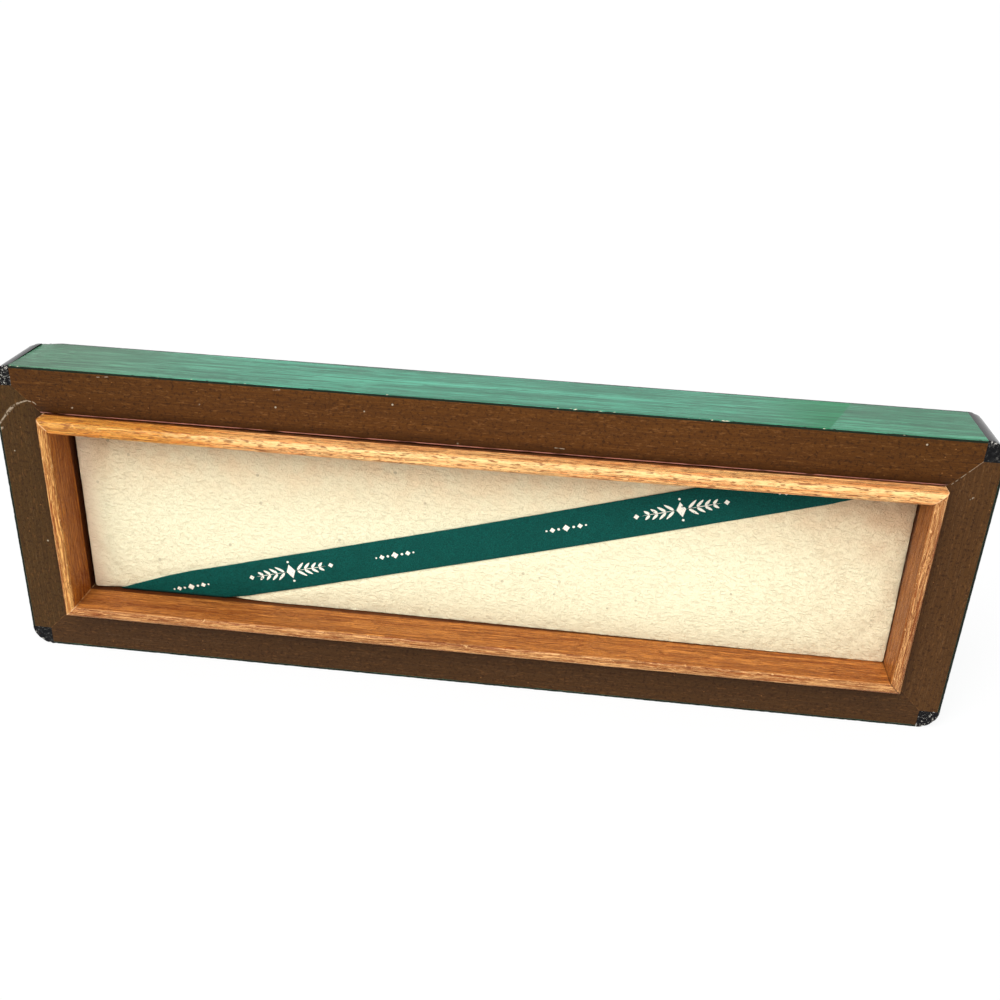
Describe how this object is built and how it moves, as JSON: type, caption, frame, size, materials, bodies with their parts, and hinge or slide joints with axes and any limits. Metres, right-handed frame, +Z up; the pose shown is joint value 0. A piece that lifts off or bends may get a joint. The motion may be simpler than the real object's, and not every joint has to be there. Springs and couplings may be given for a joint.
{
  "type": "pocket watch display box",
  "caption": "Shallow display box tray with mitred rails, veneered sides, a raised mahogany locating liner and a strapped leather pad.",
  "frame": {"origin": "under the middle of the box, on the surface that its long edge stands on", "axes": "+X along the box to the right seen from the open face, +Y from the open face to the back, +Z up"},
  "size_m": [0.3, 0.0282, 0.1],
  "materials": {
    "dark_wood": "dark brown stain, satin lacquer",
    "pale_wood": "bare",
    "green_veneer": "green dyed veneer, lacquered",
    "black_edging": "ebonised, gloss lacquer",
    "mahogany": "satin lacquer, open grain",
    "steel": "bright",
    "hardboard": "bare",
    "foam": "soft, open cells",
    "card": "matt",
    "cream_leather": "cream, fine creases, matt",
    "green_leather": "dark green, fine grain"
  },
  "bodies": {
    "root": {"top_wall": "dark_wood", "bottom_wall": "dark_wood", "left_wall": "dark_wood", "right_wall": "dark_wood", "tongue_top_left": "pale_wood", "tongue_top_right": "pale_wood", "tongue_bottom_left": "pale_wood", "tongue_bottom_right": "pale_wood", "top_veneer_long_leaf": "green_veneer", "top_veneer_short_leaf": "green_veneer", "bottom_veneer": "green_veneer", "left_veneer": "green_veneer", "right_veneer": "green_veneer", "back_veneer": "green_veneer", "bead_top_left": "black_edging", "bead_top_right": "black_edging", "bead_bottom_left": "black_edging", "bead_bottom_right": "black_edging", "back_edge_top": "black_edging", "back_edge_bottom": "black_edging", "back_edge_left": "black_edging", "back_edge_right": "black_edging", "liner_top": "mahogany", "liner_bottom": "mahogany", "liner_left": "mahogany", "liner_right": "mahogany", "base_board": "pale_wood", "base_pins": "steel", "pad_board": "hardboard", "pad_foam": "foam", "pad_cover": "cream_leather", "packing_card": "card", "strap": "green_leather"}
  },
  "joints": []
}
